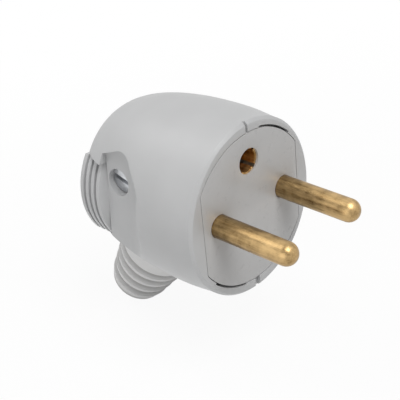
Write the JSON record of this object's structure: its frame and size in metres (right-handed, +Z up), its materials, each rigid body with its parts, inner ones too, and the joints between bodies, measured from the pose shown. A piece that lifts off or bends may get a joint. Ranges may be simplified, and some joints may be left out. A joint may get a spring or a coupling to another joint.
{
  "type": "electrical plug",
  "caption": "Rewirable mains plug with round pins, an earth hole above them, a domed hood with finger pockets and grip ribs, and a ribbed sleeve for a cord.",
  "frame": {"origin": "middle of the mating face, midway between the two pins", "axes": "-Y out along the pins, +Z up from the pins to the earth hole, +X towards the live pin"},
  "size_m": [0.0374, 0.0618, 0.0541],
  "materials": {
    "hood": "satin light grey",
    "carrier": "satin warm light grey",
    "sleeve": "soft, satin grey",
    "brass": "turned, drawn lengthwise",
    "zinc_steel": "bright zinc plate",
    "leaf_brass": "rolled strip"
  },
  "bodies": {
    "root": {"hood": "hood", "pin_carrier": "carrier", "rear_cradle": "carrier", "cord_clamp": "carrier", "cable_sleeve": "sleeve", "live_pin": "brass", "neutral_pin": "brass", "earth_socket": "brass", "housing_screw": "zinc_steel", "housing_nut": "zinc_steel", "live_terminal_screw": "zinc_steel", "neutral_terminal_screw": "zinc_steel", "earth_terminal_screw": "zinc_steel", "cradle_screw_left": "zinc_steel", "cradle_screw_right": "zinc_steel", "clamp_screw_left": "zinc_steel", "clamp_screw_right": "zinc_steel", "earth_spring": "zinc_steel", "live_terminal_leaf": "leaf_brass", "neutral_terminal_leaf": "leaf_brass", "earth_terminal_leaf": "leaf_brass"}
  },
  "joints": []
}
